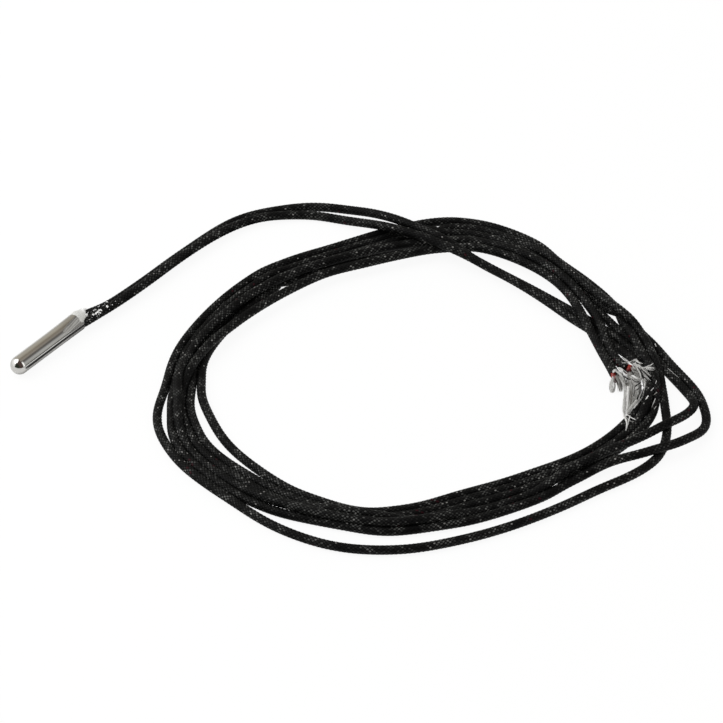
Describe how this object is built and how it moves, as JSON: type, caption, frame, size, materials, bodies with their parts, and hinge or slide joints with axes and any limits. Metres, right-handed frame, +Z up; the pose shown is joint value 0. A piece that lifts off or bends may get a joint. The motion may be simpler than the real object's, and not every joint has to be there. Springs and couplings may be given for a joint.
{
  "type": "thermistor",
  "caption": "Thermistor in a domed steel capsule, potted at the mouth, on long glass-braided leads wound into a loose coil with frayed cut ends.",
  "frame": {"origin": "under the middle of the capsule with its potting, on the surface it lies on", "axes": "+X along the capsule from its domed tip to its mouth, +Z up, the coil of leads lies on the -Y side"},
  "size_m": [0.0793, 0.0935, 0.0039],
  "materials": {
    "capsule_steel": "drawn stainless steel, polished, with fine handling scratches",
    "cement": "matt white potting cement",
    "chip_ceramic": "dark sintered metal-oxide ceramic",
    "bead_glass": "sealing glass",
    "bead_wire": "bright drawn alloy wire",
    "splice_brass": "plain brass ferrule",
    "sleeve_film": "amber heat-proof film sleeve",
    "core_insulation": "red heat-proof insulation",
    "conductor_metal": "plated stranded wire",
    "lead_braid": "black varnished glass-fibre braid, close woven",
    "glass_fibre": "loose white glass fibre with bits of the black varnish"
  },
  "bodies": {
    "root": {"capsule": "capsule_steel", "potting": "cement", "thermistor_chip": "chip_ceramic", "glass_bead": "bead_glass", "bead_wire_a": "bead_wire", "bead_wire_b": "bead_wire", "splice_a": "splice_brass", "splice_b": "splice_brass", "insulating_sleeve_a": "sleeve_film", "insulating_sleeve_b": "sleeve_film", "core_a": "core_insulation", "core_b": "core_insulation", "conductor_a": "conductor_metal", "conductor_b": "conductor_metal", "lead_tail_a": "lead_braid", "lead_tail_b": "lead_braid", "lead_coil": "lead_braid", "lead_end_a": "lead_braid", "lead_end_b": "lead_braid", "core_end_a": "core_insulation", "core_end_b": "core_insulation", "conductor_end_a": "conductor_metal", "conductor_end_b": "conductor_metal", "glass_fray_a": "glass_fibre", "glass_fray_b": "glass_fibre"}
  },
  "joints": []
}
